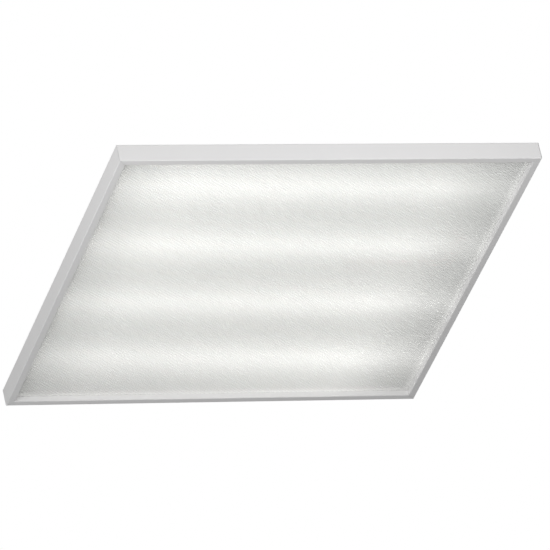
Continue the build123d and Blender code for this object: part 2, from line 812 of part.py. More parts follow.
# the columns of pieces between the lid's two partitions, by their lengths along X
choke_length = 2 * (choke_radius + choke_turn_radius)
column_lengths = [
    max(choke_length, film_capacitor_length),
    2 * bulk_capacitor_radius,
    core_length,
    2 * output_capacitor_radius,
    heatsink_length,
]
compartment_half = lid_half - 1.5 * driver_wall
column_gap = (2 * compartment_half - sum(column_lengths)) / (len(column_lengths) + 1)
column_places = []
column_edge = column_gap - compartment_half
for column_length in column_lengths:
    column_places.append(column_edge + column_length / 2)
    column_edge += column_length + column_gap
filter_x, bulk_capacitor_x, transformer_x, output_capacitor_x, heatsink_x = column_places

with BuildPart() as driver_board:
    with BuildSketch(Plane.XY.offset(driver_board_low)):
        Rectangle(driver_board_length, driver_board_width)
    extrude(amount=driver_board_thickness)
driver_board.part.label = "driver_board"
export_step(driver_board.part, "parts/driver_board.step")

# transformer: a closed ferrite core with the winding round its middle leg
core_low = driver_board_top + winding_wall + winding_clearance
window_width = (core_width - 3 * core_leg) / 2
window_length = core_length - 2 * core_leg
window_y = (core_leg + window_width) / 2
with BuildPart() as transformer_core:
    with BuildSketch(Plane.XY.offset(core_low)):
        with Locations((transformer_x, 0)):
            Rectangle(core_length, core_width)
        with Locations((transformer_x, -window_y), (transformer_x, window_y)):
            Rectangle(window_length, window_width, mode=Mode.SUBTRACT)
    extrude(amount=core_height)
    fillet(transformer_core.edges().filter_by(Axis.Z).group_by(Axis.X)[0], core_leg / 5)
    fillet(transformer_core.edges().filter_by(Axis.Z).group_by(Axis.X)[-1], core_leg / 5)
transformer_core.part.label = "transformer_core"
export_step(transformer_core.part, "parts/transformer_core.step")

winding_length = window_length - 2 * winding_clearance
winding_middle = core_low + core_height / 2
with BuildPart() as transformer_winding:
    with BuildSketch(Plane.YZ.offset(transformer_x - winding_length / 2)):
        with Locations((0, winding_middle)):
            RectangleRounded(
                core_leg + 2 * (window_width - winding_clearance),
                core_height + 2 * (winding_wall + winding_clearance),
                winding_wall / 2,
            )
            Rectangle(
                core_leg + 2 * winding_clearance, core_height + 2 * winding_clearance, mode=Mode.SUBTRACT
            )
    extrude(amount=winding_length)
transformer_winding.part.label = "transformer_winding"
export_step(transformer_winding.part, "parts/transformer_winding.step")


def standing_cans(places, radius, height):
    """Capacitor cans that stand on the board, with a rolled rim at the top."""
    with BuildPart() as cans:
        with BuildSketch(Plane.XY.offset(driver_board_top)):
            with Locations(places):
                Circle(radius)
        extrude(amount=height)
        fillet(cans.faces().filter_by(Axis.Z).group_by(Axis.Z)[-1].edges(), capacitor_rim)
        # the pressed dish in each can's top
        with BuildSketch(Plane.XY.offset(driver_board_top + height)):
            with Locations(places):
                Circle(radius - 2 * capacitor_rim)
        extrude(amount=-capacitor_rim / 2, mode=Mode.SUBTRACT)
    return cans


bulk_capacitor = standing_cans([(bulk_capacitor_x, 0)], bulk_capacitor_radius, bulk_capacitor_height)
bulk_capacitor.part.label = "bulk_capacitor"
export_step(bulk_capacitor.part, "parts/bulk_capacitor.step")

output_capacitors = standing_cans(
    [(output_capacitor_x, -output_capacitor_offset), (output_capacitor_x, output_capacitor_offset)],
    output_capacitor_radius,
    output_capacitor_height,
)
output_capacitors.part.label = "output_capacitors"
export_step(output_capacitors.part, "parts/output_capacitors.step")

with BuildPart() as choke:
    choke_foot = (filter_x, -choke_offset, driver_board_top)
    with BuildSketch(Plane(origin=choke_foot, x_dir=(1, 0, 0), z_dir=(0, -1, 0))):
        with Locations((choke_radius, choke_turn_radius)):
            Circle(choke_turn_radius)
    revolve(axis=Axis(choke_foot, (0, 0, 1)))
choke.part.label = "choke"
export_step(choke.part, "parts/choke.step")

with BuildPart() as film_capacitor:
    with BuildSketch(Plane.XY.offset(driver_board_top)):
        with Locations((filter_x, film_capacitor_offset)):
            RectangleRounded(film_capacitor_length, film_capacitor_width, capacitor_rim)
    extrude(amount=film_capacitor_height)
    fillet(film_capacitor.faces().sort_by(Axis.Z)[-1].edges(), capacitor_rim / 2)
film_capacitor.part.label = "film_capacitor"
export_step(film_capacitor.part, "parts/film_capacitor.step")

# a comb of fins on an upright web
fin_pitch = (heatsink_width - fin_thickness) / (fin_count - 1)
with BuildPart() as heatsink:
    with BuildSketch(Plane.XY.offset(driver_board_top)):
        with Locations((heatsink_x - (heatsink_length - heatsink_web) / 2, 0)):
            Rectangle(heatsink_web, heatsink_width)
        with Locations((heatsink_x, 0)):
            with GridLocations(0, fin_pitch, 1, fin_count):
                Rectangle(heatsink_length, fin_thickness)
    extrude(amount=heatsink_height)
heatsink.part.label = "heatsink"
export_step(heatsink.part, "parts/heatsink.step")

# ---------------------------------------------------------------- terminals

for end_name, end in ends.items():
    block_width = len(poles[end_name]) * pole_pitch + 2 * terminal_side
    block_x = end * terminal_x
    with BuildPart() as terminal_block:
        with BuildSketch(Plane.XY.offset(driver_board_top)):
            with Locations((block_x, 0)):
                Rectangle(terminal_length, block_width)
        extrude(amount=terminal_height)
        chamfer(terminal_block.faces().sort_by(Axis.Z)[-1].edges().filter_by(Axis.Y), terminal_side / 4)
        with BuildSketch(Plane.XY.offset(terminal_top)):
            with Locations([(block_x, y) for y in pole_places(end_name)]):
                Rectangle(pocket_length, pocket_width)
        extrude(amount=-pocket_depth, mode=Mode.SUBTRACT)
        mouth = (block_x + end * terminal_length / 2, 0, entry_z)
        with BuildSketch(Plane(origin=mouth, x_dir=(0, 1, 0), z_dir=(end, 0, 0))):
            with Locations([(y, 0) for y in pole_places(end_name)]):
                Circle(entry_radius)
        extrude(amount=-terminal_length / 2, mode=Mode.SUBTRACT)
    terminal_block.part.label = f"{end_name}_terminal"
    export_step(terminal_block.part, f"parts/{end_name}_terminal.step")

    # sprung release buttons, one for each pole
    for pole_name, pole_y in zip(poles[end_name], pole_places(end_name)):
        with BuildPart() as release_button:
            with BuildSketch(Plane.XY.offset(terminal_top + button_proud)):
                with Locations((block_x, pole_y)):
                    Rectangle(button_length, button_width)
            extrude(amount=-button_height)
            fillet(release_button.faces().sort_by(Axis.Z)[-1].edges(), button_slot_clearance)
            # screwdriver notch across the top
            with BuildSketch(Plane.XY.offset(terminal_top + button_proud)):
                with Locations((block_x, pole_y)):
                    Rectangle(button_slot_clearance * 2, button_width)
            extrude(amount=-button_slot_clearance * 2, mode=Mode.SUBTRACT)
        release_button.part.label = f"release_button_{pole_name}"
        export_step(release_button.part, f"parts/release_button_{pole_name}.step")

# bent strips that grip the wires at the foot of each pocket
with BuildPart() as terminal_cages:
    with BuildSketch(Plane.XY.offset(pocket_floor)):
        for end_name, end in ends.items():
            with Locations([(end * terminal_x, y) for y in pole_places(end_name)]):
                Rectangle(pocket_length, button_width)
    extrude(amount=cage_thickness)
    with BuildSketch(Plane.XY.offset(pocket_floor)):
        for end_name, end in ends.items():
            upright_x = end * (terminal_x - pocket_length / 2 + cage_thickness / 2)
            with Locations([(upright_x, y) for y in pole_places(end_name)]):
                Rectangle(cage_thickness, button_width)
    extrude(amount=cage_height)
terminal_cages.part.label = "terminal_cages"
export_step(terminal_cages.part, "parts/terminal_cages.step")

# ---------------------------------------------------------------- earthing

with BuildPart() as earth_stud:
    with BuildSketch(Plane.XY.offset(seat_top)):
        with Locations((earth_x, earth_y)):
            Circle(stud_radius)
    extrude(amount=stud_height)
    chamfer(earth_stud.faces().sort_by(Axis.Z)[-1].edges(), stud_radius / 4)
earth_stud.part.label = "earth_stud"
export_step(earth_stud.part, "parts/earth_stud.step")

with BuildPart() as earth_nut:
    with BuildSketch(Plane.XY.offset(plate_top + tag_thickness)):
        with Locations((earth_x, earth_y)):
            RegularPolygon(earth_nut_radius, 6)
            Circle(stud_radius + thread_clearance, mode=Mode.SUBTRACT)
    extrude(amount=earth_nut_height)
earth_nut.part.label = "earth_nut"
export_step(earth_nut.part, "parts/earth_nut.step")

# a ring tag under the nut, with the barrel that is crimped on the lead
tag_z = plate_top + tag_thickness + earth_wire_radius
tag_neck_x = earth_x + tag_radius + tag_thickness
with BuildPart() as earth_tag:
    with BuildSketch(Plane.XY.offset(plate_top)):
        with Locations((earth_x, earth_y)):
            Circle(tag_radius)
            Rectangle(
                tag_neck_x + tag_barrel_length - earth_x,
                2 * earth_wire_radius,
                align=(Align.MIN, Align.CENTER),
            )
            Circle(stud_radius + thread_clearance, mode=Mode.SUBTRACT)
    extrude(amount=tag_thickness)
    with BuildSketch(Plane(origin=(tag_neck_x, earth_y, tag_z), z_dir=(1, 0, 0))):
        Circle(earth_wire_radius + tag_thickness / 2)
    extrude(amount=tag_barrel_length)
    with BuildSketch(Plane(origin=(tag_neck_x, earth_y, tag_z), z_dir=(1, 0, 0))):
        Circle(earth_wire_radius + thread_clearance)
    extrude(amount=tag_barrel_length, mode=Mode.SUBTRACT)
earth_tag.part.label = "earth_tag"
export_step(earth_tag.part, "parts/earth_tag.step")

# from the circuit board, out of the end wall and down into the tag's barrel
earth_start_x = -(driver_board_length / 2 - terminal_side)
earth_points = [
    (earth_start_x, earth_y, driver_board_top),
    (earth_start_x, earth_y, entry_z),
    (-driver_half - earth_run, earth_y, entry_z),
    (tag_neck_x + tag_barrel_length + earth_run_in, earth_y, tag_z),
    (tag_neck_x, earth_y, tag_z),
]
earth_lead = wire_tube(earth_points, [earth_rise_bend, earth_bend, earth_bend], earth_wire_radius, (0, 0, 1))
earth_lead.part.label = "earth_lead"
export_step(earth_lead.part, "parts/earth_lead.step")

# ---------------------------------------------------------------- back of the housing

# rivet nuts for a suspension kit; threads are left plain at their nominal size
with BuildPart() as suspension_nuts:
    with BuildSketch(Plane.XY.offset(plate_top)):
        with GridLocations(suspension_spacing, suspension_spacing, 2, 2):
            Circle(nut_flange_radius)
    extrude(amount=nut_flange_height)
    chamfer(
        suspension_nuts.faces().filter_by(Axis.Z).group_by(Axis.Z)[-1].edges(), nut_flange_height / 3
    )
    with BuildSketch(Plane.XY.offset(plate_top)):
        with GridLocations(suspension_spacing, suspension_spacing, 2, 2):
            Circle(nut_barrel_radius)
    extrude(amount=-nut_barrel_length)
    # the bulge that grips the plate from below
    with BuildSketch(Plane.XY.offset(seat_top)):
        with GridLocations(suspension_spacing, suspension_spacing, 2, 2):
            Circle(nut_bulge_radius)
    extrude(amount=-nut_bulge_height)
    with BuildSketch(Plane.XY.offset(plate_top + nut_flange_height)):
        with GridLocations(suspension_spacing, suspension_spacing, 2, 2):
            Circle(nut_bore_radius)
    extrude(amount=-nut_flange_height - nut_barrel_length, mode=Mode.SUBTRACT)
suspension_nuts.part.label = "suspension_nuts"
export_step(suspension_nuts.part, "parts/suspension_nuts.step")

with BuildPart() as rating_plate:
    with BuildSketch(Plane.XY.offset(plate_top)):
        with Locations((rating_plate_x, 0)):
            RectangleRounded(rating_plate_length, rating_plate_width, rating_plate_corner)
    extrude(amount=rating_plate_thickness)
rating_plate.part.label = "rating_plate"
export_step(rating_plate.part, "parts/rating_plate.step")
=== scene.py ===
from math import copysign, cos, pi, sin

import bmesh
import bpy
from mathutils import Matrix, Vector


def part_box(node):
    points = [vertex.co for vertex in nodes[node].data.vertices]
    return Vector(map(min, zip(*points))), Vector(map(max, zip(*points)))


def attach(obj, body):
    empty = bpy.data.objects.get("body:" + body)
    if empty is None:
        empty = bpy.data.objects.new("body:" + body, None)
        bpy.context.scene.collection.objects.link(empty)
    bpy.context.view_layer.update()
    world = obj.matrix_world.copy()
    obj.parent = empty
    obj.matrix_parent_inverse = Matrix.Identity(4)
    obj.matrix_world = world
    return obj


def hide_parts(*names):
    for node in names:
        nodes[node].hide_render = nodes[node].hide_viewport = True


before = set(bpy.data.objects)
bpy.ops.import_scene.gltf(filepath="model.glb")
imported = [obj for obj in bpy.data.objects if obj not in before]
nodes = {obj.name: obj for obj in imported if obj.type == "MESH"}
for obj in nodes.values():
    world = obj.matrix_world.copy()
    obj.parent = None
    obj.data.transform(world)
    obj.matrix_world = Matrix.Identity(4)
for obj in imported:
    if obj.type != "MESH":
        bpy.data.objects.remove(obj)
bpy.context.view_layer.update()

scene = bpy.context.scene
scene.view_settings.view_transform = "Standard"
MM = 0.001
box_half = 288.5 * MM  # from the middle to the frame's inner faces

# ---------------------------------------------------------------- sizes from the frame

diffuser_low, diffuser_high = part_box("diffuser")
plate_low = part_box("back_plate")[0]
row_names = ["led_row_1", "led_row_2", "led_row_3", "led_row_4"]
row_boxes = [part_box(name) for name in row_names]
row_places = [(low.y + high.y) / 2 for low, high in row_boxes]


# ---------------------------------------------------------------- node helpers

class Wiring:
    """Adds shader or geometry nodes to one tree and joins them up."""

    def __init__(self, tree):
        self.tree = tree

    def feed(self, socket, value):
        if isinstance(value, bpy.types.Node):
            value = next(output for output in value.outputs if output.enabled)
        if isinstance(value, bpy.types.NodeSocket):
            self.tree.links.new(value, socket)
        else:
            socket.default_value = value

    def add(self, kind, inputs=None, **settings):
        node = self.tree.nodes.new(kind)
        for key, value in settings.items():
            setattr(node, key, value)
        for key, value in (inputs or {}).items():
            self.feed(node.inputs[key], value)
        return node

    def math(self, operation, *values):
        node = self.add("ShaderNodeMath", operation=operation)
        for socket, value in zip(node.inputs, values):
            self.feed(socket, value)
        return node.outputs[0]

    def mix(self, factor, colour_a, colour_b):
        node = self.add("ShaderNodeMix", data_type="RGBA")
        for number, value in ((0, factor), (6, colour_a), (7, colour_b)):
            self.feed(node.inputs[number], value)
        return node.outputs[2]

    def ramp(self, value, low, high, out_low=0.0, out_high=1.0, smooth=False):
        kind = "SMOOTHSTEP" if smooth else "LINEAR"
        inputs = {0: value, 1: low, 2: high, 3: out_low, 4: out_high}
        return self.add("ShaderNodeMapRange", inputs, interpolation_type=kind).outputs[0]

    def place(self):
        return self.add("ShaderNodeTexCoord").outputs["Object"]

    def xyz(self, vector):
        return self.add("ShaderNodeSeparateXYZ", {0: vector}).outputs

    def noise(self, vector, scale, detail=2.0, stretch=None):
        if stretch:
            vector = self.add("ShaderNodeMapping", {"Vector": vector, "Scale": stretch})
        inputs = {"Vector": vector, "Scale": scale, "Detail": detail}
        return self.add("ShaderNodeTexNoise", inputs).outputs[0]

    def surface(self, shader):
        self.add("ShaderNodeOutputMaterial", {"Surface": shader})


def tone(colour, factor=1.0):
    return tuple(channel * factor for channel in colour[:3]) + (1.0,)


def new_material(name):
    material = bpy.data.materials.new(name)
    material.use_nodes = True
    material.node_tree.nodes.clear()
    return material, Wiring(material.node_tree)


# ---------------------------------------------------------------- light inside the box

glow_colour = (1.0, 0.987, 0.967, 1.0)
box_light = 0.85        # glow of the white inner surfaces
reveal_light = 0.13     # glow that reaches the frame's faces below the sheet
sheet_light = 0.37      # glow of the sheet itself
box_contrast = 0.92     # how far the rows stand out on the inner surfaces
sheet_contrast = 0.75   # and on the sheet

bell_width = 35 * MM    # a row's light halves this far from it
bell_sum = 1.13         # what all the bells add up to on a row
end_middle = -3 * MM    # where the rows' light is centred along X
end_fade = (0.170, 0.305)
end_loss = 0.56
side_fade = (0.200, 0.292)
corner_loss = 0.30
foot_lift = 0.12        # the foot's border is brighter, all but its left end
foot_rise = (0.150, 0.285)
foot_spread = (-0.250, 0.100)
lean = 0.15             # brighter towards the foot, per metre
twist = 2.2             # brighter towards the foot's right end, per square metre
side_lean = 0.2         # brighter towards the right, per metre


def make_glow_group():
    """Brightness of the lit box over its plan: four soft rows, the outer two mirrored by the white
    walls beside them, falling off at their ends and most in the corners, with a slight slope."""
    group = bpy.data.node_groups.new("row_glow", "ShaderNodeTree")
    group.interface.new_socket("Place", in_out="INPUT", socket_type="NodeSocketVector")
    group.interface.new_socket("Contrast", in_out="INPUT", socket_type="NodeSocketFloat")
    group.interface.new_socket("Glow", in_out="OUTPUT", socket_type="NodeSocketFloat")
    w = Wiring(group)
    given = w.add("NodeGroupInput").outputs
    contrast = given["Contrast"]
    x, y, _ = w.xyz(given["Place"])
    total = None
    walls = [2 * diffuser_low.y - row_places[0], 2 * diffuser_high.y - row_places[-1]]
    for row_y in row_places + walls:
        away = w.math("DIVIDE", w.math("SUBTRACT", y, row_y), bell_width)
        bell = w.math("DIVIDE", 1.0 / bell_sum, w.math("MULTIPLY_ADD", away, away, 1.0))
        total = bell if total is None else w.math("ADD", total, bell)
    plain = w.math("SUBTRACT", 1.0, contrast)
    rows = w.math("ADD", w.math("MULTIPLY", total, contrast), plain)
    off_middle = w.math("ABSOLUTE", w.math("SUBTRACT", x, end_middle))
    ends = w.ramp(off_middle, *end_fade, smooth=True)
    sides = w.ramp(w.math("ABSOLUTE", y), *side_fade, smooth=True)
    corner = w.math("MULTIPLY_ADD", w.math("MULTIPLY", ends, sides), -corner_loss, 1.0)
    level = w.math("MULTIPLY", w.math("MULTIPLY_ADD", ends, -end_loss, 1.0), corner)
    rise = w.ramp(y, *foot_rise, 0.0, foot_lift, smooth=True)
    foot = w.math("MULTIPLY", rise, w.ramp(x, *foot_spread, smooth=True))
    rows = w.math("ADD", rows, foot)
    down = w.math("MULTIPLY_ADD", y, lean, 1.0)
    across = w.math("MULTIPLY_ADD", y, twist, side_lean)
    level = w.math("MULTIPLY", level, w.math("MULTIPLY_ADD", x, across, down))
    w.add("NodeGroupOutput", {0: w.math("MULTIPLY", rows, level)})
    return group


glow_group = make_glow_group()


def glow_at(w, place, contrast):
    node = w.add("ShaderNodeGroup", node_tree=glow_group)
    w.feed(node.inputs["Place"], place)
    node.inputs["Contrast"].default_value = contrast
    return node.outputs[0]


# ---------------------------------------------------------------- finishes

def lit_from_inside(w, place, shader, inner_light, reveal):
    """Gives the rows' light to the faces inside the box, and a little to those below the sheet."""
    x, y, z = w.xyz(place)
    reach = w.math("MAXIMUM", w.math("ABSOLUTE", x), w.math("ABSOLUTE", y))
    above = w.math("GREATER_THAN", z, diffuser_high.z)
    below = w.math("LESS_THAN", z, plate_low.z)
    level = w.math("MULTIPLY", w.math("MULTIPLY", above, below), inner_light)
    if reveal:
        level = w.math("MULTIPLY_ADD", w.math("LESS_THAN", z, diffuser_low.z), reveal, level)
    level = w.math("MULTIPLY", w.math("LESS_THAN", reach, box_half), level)
    w.feed(shader.inputs["Emission Color"], glow_colour)
    glow = glow_at(w, place, box_contrast)
    w.feed(shader.inputs["Emission Strength"], w.math("MULTIPLY", level, glow))


def finish(name, colour, roughness, metallic=0.0, grain=0.1, grain_scale=900.0, grain_depth=0.1,
           stretch=None, cloud=0.05, cloud_scale=16.0, coat=0.0, edge=0.0, pattern=None,
           inner_light=0.0, reveal=0.0):
    """A finish whose colour, gloss and surface all vary a little.

    pattern(w, place, colour) may redraw the colour. grain_depth and edge are in millimetres."""
    material, w = new_material(name)
    place = w.place()
    clouds = w.ramp(w.noise(place, cloud_scale, 3.0), 0.3, 0.7)
    shade = w.mix(clouds, tone(colour), tone(colour, 1.0 - cloud))
    if pattern:
        shade = pattern(w, place, shade)
    fine = w.noise(place, grain_scale, stretch=stretch)
    broad = w.noise(place, cloud_scale * 2.5)
    swing = 0.03
    rough = w.math("ADD", w.ramp(fine, 0.3, 0.7, -swing, swing),
                   w.ramp(broad, 0.3, 0.7, roughness - swing, roughness + swing))
    inputs = {"Strength": grain, "Distance": grain_depth * MM, "Height": fine}
    if edge:
        inputs["Normal"] = w.add("ShaderNodeBevel", {"Radius": edge * MM}, samples=4)
    shader = w.add("ShaderNodeBsdfPrincipled", {
        "Base Color": shade, "Roughness": rough, "Metallic": metallic, "Coat Weight": coat,
        "IOR": 1.5, "Normal": w.add("ShaderNodeBump", inputs),
    })
    if inner_light:
        lit_from_inside(w, place, shader, inner_light, reveal)
    w.surface(shader)
    return material


def painted_fold_highlight(w, place, shade):
    """A painted highlight: the powder coat is drawn paler along the long outer folds, standing in
    for the light their rounded edges catch.
    """
    x, _, z = w.xyz(place)
    low = w.ramp(z, 0.9 * MM, 1.5 * MM, 1.0, 0.0)
    outer = w.ramp(w.math("ABSOLUTE", x), 296.0 * MM, 296.6 * MM)
    return w.mix(w.math("MULTIPLY", low, outer), shade, tone((0.875, 0.875, 0.875)))


def zinc_spangle(w, place, shade):
    cells = w.add("ShaderNodeTexVoronoi", {"Vector": place, "Scale": 900.0})
    level = w.add("ShaderNodeSeparateColor", {0: cells.outputs["Color"]}).outputs[0]
    return w.mix(w.ramp(level, 0.0, 1.0, 0.0, 0.35), shade, tone((0.42, 0.44, 0.47)))


def board_traces(w, place, shade):
    """Straight copper runs and tinned pads under green solder mask."""
    cells = w.add("ShaderNodeTexVoronoi", {"Vector": place, "Scale": 210.0},
                  distance="MANHATTAN", feature="F1")
    runs = w.add("ShaderNodeTexVoronoi", {"Vector": place, "Scale": 300.0},
                 distance="CHEBYCHEV", feature="F2")
    bands = w.math("FRACT", w.math("MULTIPLY", runs.outputs["Distance"], 4.0))
    green = w.mix(w.ramp(bands, 0.42, 0.5), tone((0.010, 0.115, 0.055)), tone((0.022, 0.20, 0.10)))
    pad = w.ramp(cells.outputs["Distance"], 0.16, 0.2, 1.0, 0.0)
    return w.mix(pad, green, tone((0.62, 0.62, 0.60)))


def along_pitch(w, x):
    """The place along a row as a share of one package's pitch, 0 at the package's middle."""
    return w.math("SUBTRACT", w.math("FRACT", w.math("DIVIDE", x, led_pitch)), 0.5)


def mask_traces(w, place, shade):
    """The copper under a white solder mask shows as broad, slightly greyer strips beside the LED
    packages."""
    along = w.math("ABSOLUTE", along_pitch(w, w.xyz(place)["X"]))
    return w.mix(w.ramp(along, 0.455, 0.47), shade, tone((0.70, 0.71, 0.70)))


def phosphor_windows(w, place, shade):
    """Each package's round window is filled with yellow phosphor."""
    place_x, place_y, _ = w.xyz(place)
    x = w.math("MULTIPLY", along_pitch(w, place_x), led_pitch)
    near = None
    for row_y in row_places:
        gap = w.math("ABSOLUTE", w.math("SUBTRACT", place_y, row_y))
        near = gap if near is None else w.math("MINIMUM", near, gap)
    square = w.math("ADD", w.math("MULTIPLY", x, x), w.math("MULTIPLY", near, near))
    window = w.ramp(w.math("SQRT", square), 1.05 * MM, 1.15 * MM, 1.0, 0.0)
    return w.mix(window, shade, tone((0.93, 0.66, 0.10)))


def earth_stripe(w, place, shade):
    """A green and yellow lead; the yellow runs along its top and underside."""
    off = w.math("ABSOLUTE", w.math("SUBTRACT", w.xyz(place)["Y"], earth_middle))
    return w.mix(w.ramp(off, 0.55 * MM, 0.62 * MM, 1.0, 0.0), shade, tone((0.86, 0.66, 0.03)))


def can_sleeve(w, place, shade):
    """A shrunk sleeve with a pale stripe, and the bare aluminium top of the can."""
    facing = w.xyz(w.add("ShaderNodeNewGeometry").outputs["Normal"])
    shade = w.mix(w.ramp(facing["X"], 0.88, 0.9), shade, tone((0.62, 0.64, 0.66)))
    return w.mix(w.ramp(facing["Z"], 0.75, 0.8), shade, tone((0.66, 0.67, 0.68)))


def brushed_plate(w, place, shade):
    """A blank brushed label with a fine engraved border line."""
    split = w.xyz(place)
    border = 2.2 * MM
    line = None
    for number, axis in enumerate("XY"):
        off = w.math("ABSOLUTE", w.math("SUBTRACT", split[axis], label_middle[number]))
        inside = w.math("SUBTRACT", label_half[number] - border, off)
        line = inside if line is None else w.math("MINIMUM", line, inside)
    near = w.ramp(w.math("ABSOLUTE", line), 0.22 * MM, 0.3 * MM, 1.0, 0.0)
    return w.mix(near, shade, tone((0.13, 0.13, 0.14)))


led_low, led_high = row_boxes[0]
led_count = 28
led_width = 2.8 * MM
led_pitch = (led_high.x - led_low.x - led_width) / (led_count - 1)
earth_low, earth_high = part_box("earth_lead")
earth_middle = (earth_low.y + earth_high.y) / 2
label_low, label_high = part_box("rating_plate")
label_middle, label_half = (label_low + label_high) / 2, (label_high - label_low) / 2


def wire_cover(name, colour, **more):
    return finish(name, colour, 0.32, grain=0.06, coat=0.2, **more)


def button(name, colour):
    return finish(name, colour, 0.42, grain=0.25, edge=0.2)


finishes = {
    # the frame's pattern is a painted highlight along its long outer folds
    "frame_paint": finish(
        "frame_powder_coat", (0.805, 0.80, 0.80), 0.46, grain=0.35, grain_scale=1100,
        grain_depth=0.06, cloud=0.012, edge=1.4, pattern=painted_fold_highlight, inner_light=box_light,
        reveal=reveal_light),
    "plate_paint": finish(
        "back_plate_enamel", (0.74, 0.745, 0.755), 0.38, grain=0.12, grain_scale=500,
        stretch=(0.06, 1.0, 1.0), cloud=0.03, cloud_scale=7.0),
    "zinc": finish(
        "zinc_plated_steel", (0.66, 0.67, 0.70), 0.33, metallic=1.0, grain=0.2, grain_scale=1500,
        cloud=0.12, pattern=zinc_spangle, inner_light=0.6),
    "rivet_metal": finish(
        "aluminium_rivet", (0.78, 0.79, 0.80), 0.3, metallic=1.0, grain=0.15, grain_scale=2200,
        inner_light=0.4),
    "white_wire": finish(
        "white_wire_cover", (0.78, 0.78, 0.76), 0.34, grain=0.06, coat=0.2, inner_light=box_light),
    "red_wire": wire_cover("red_wire_cover", (0.62, 0.02, 0.018), inner_light=0.75),
    "black_wire": wire_cover("black_wire_cover", (0.02, 0.02, 0.021), inner_light=0.75),
    "earth_wire": wire_cover("earth_wire_cover", (0.03, 0.30, 0.05), pattern=earth_stripe),
    "driver_plastic": finish(
        "driver_housing_plastic", (0.80, 0.80, 0.78), 0.52, grain=0.5, grain_scale=1700,
        grain_depth=0.08, cloud=0.02, edge=0.5),
    "gland_rubber": finish(
        "black_rubber", (0.030, 0.030, 0.032), 0.62, grain=0.4, grain_scale=1300, cloud=0.06,
        inner_light=box_light),
    "circuit_board": finish(
        "green_circuit_board", (0.02, 0.16, 0.08), 0.36, grain=0.08, coat=0.3,
        pattern=board_traces),
    "ferrite": finish(
        "ferrite", (0.055, 0.055, 0.06), 0.6, grain=0.6, grain_scale=2600, cloud=0.3, edge=0.3),
    "winding": finish(
        "winding_tape", (0.80, 0.56, 0.06), 0.28, grain=0.3, grain_scale=600,
        stretch=(4.0, 0.2, 0.2), coat=0.4, cloud=0.1),
    "capacitor_sleeve": finish(
        "capacitor_sleeve", (0.03, 0.035, 0.06), 0.3, grain=0.08, coat=0.3, pattern=can_sleeve),
    "choke_copper": finish(
        "enamelled_copper", (0.66, 0.24, 0.07), 0.26, metallic=0.85, grain=0.08, coat=0.5),
    "film_case": finish(
        "film_capacitor_case", (0.72, 0.50, 0.08), 0.4, grain=0.3, grain_scale=1500, edge=0.3),
    "heatsink_metal": finish(
        "extruded_aluminium", (0.70, 0.71, 0.72), 0.36, metallic=1.0, grain=0.4, grain_scale=900,
        stretch=(1.0, 1.0, 0.05)),
    "terminal_plastic": finish(
        "terminal_polyamide", (0.30, 0.31, 0.32), 0.5, grain=0.35, grain_scale=1600, edge=0.25),
    "button_live": button("live_button", (0.30, 0.10, 0.035)),
    "button_neutral": button("neutral_button", (0.03, 0.12, 0.50)),
    "button_earth": button("earth_button", (0.10, 0.42, 0.06)),
    "button_output": button("output_button", (0.66, 0.22, 0.03)),
    "spring_steel": finish(
        "spring_steel", (0.60, 0.60, 0.61), 0.24, metallic=1.0, grain=0.15, grain_scale=2400,
        stretch=(1.0, 0.1, 1.0)),
    "nut_brass": finish(
        "turned_brass", (0.80, 0.58, 0.26), 0.27, metallic=1.0, grain=0.25, grain_scale=2400,
        stretch=(0.3, 0.3, 3.0), cloud=0.12),
    "label_metal": finish(
        "brushed_label", (0.72, 0.73, 0.74), 0.34, metallic=0.9, grain=0.35, grain_scale=1400,
        stretch=(0.03, 1.0, 1.0), cloud=0.06, pattern=brushed_plate),
}


def lit_white(name, colour, roughness, pattern=None):
    """A white inner surface that carries the light of the rows."""
    material, w = new_material(name)
    place = w.place()
    fine = w.noise(place, 700.0)
    shade = w.mix(w.ramp(fine, 0.3, 0.7), tone(colour), tone(colour, 0.97))
    if pattern:
        shade = pattern(w, place, shade)
    w.surface(w.add("ShaderNodeBsdfPrincipled", {
        "Base Color": shade,
        "Roughness": w.ramp(fine, 0.3, 0.7, roughness - 0.04, roughness + 0.04),
        "Emission Color": w.mix(0.5, glow_colour, shade),
        "Emission Strength": w.math("MULTIPLY", glow_at(w, place, box_contrast), box_light),
        "Normal": w.add("ShaderNodeBump",
                        {"Strength": 0.1, "Distance": 0.1 * MM, "Height": fine}),
    }))
    return material


finishes["reflector_film"] = lit_white("white_reflector_film", (0.90, 0.90, 0.89), 0.55)
finishes["board_mask"] = lit_white("white_solder_mask", (0.86, 0.87, 0.86), 0.42, mask_traces)
finishes["led_package"] = lit_white("led_package", (0.88, 0.88, 0.86), 0.35, phosphor_windows)
finishes["connector_plastic"] = lit_white("connector_nylon", (0.84, 0.84, 0.81), 0.45)

sheet_ior = 1.2
facet_reach = 26 * MM       # how far off a facet sees the rows
facet_lean = 2.6            # more so towards the left, per metre
rim_fade = (0.276, 0.292)   # the border at the right and the foot is lit by the bright reveal
rim_light = 0.35


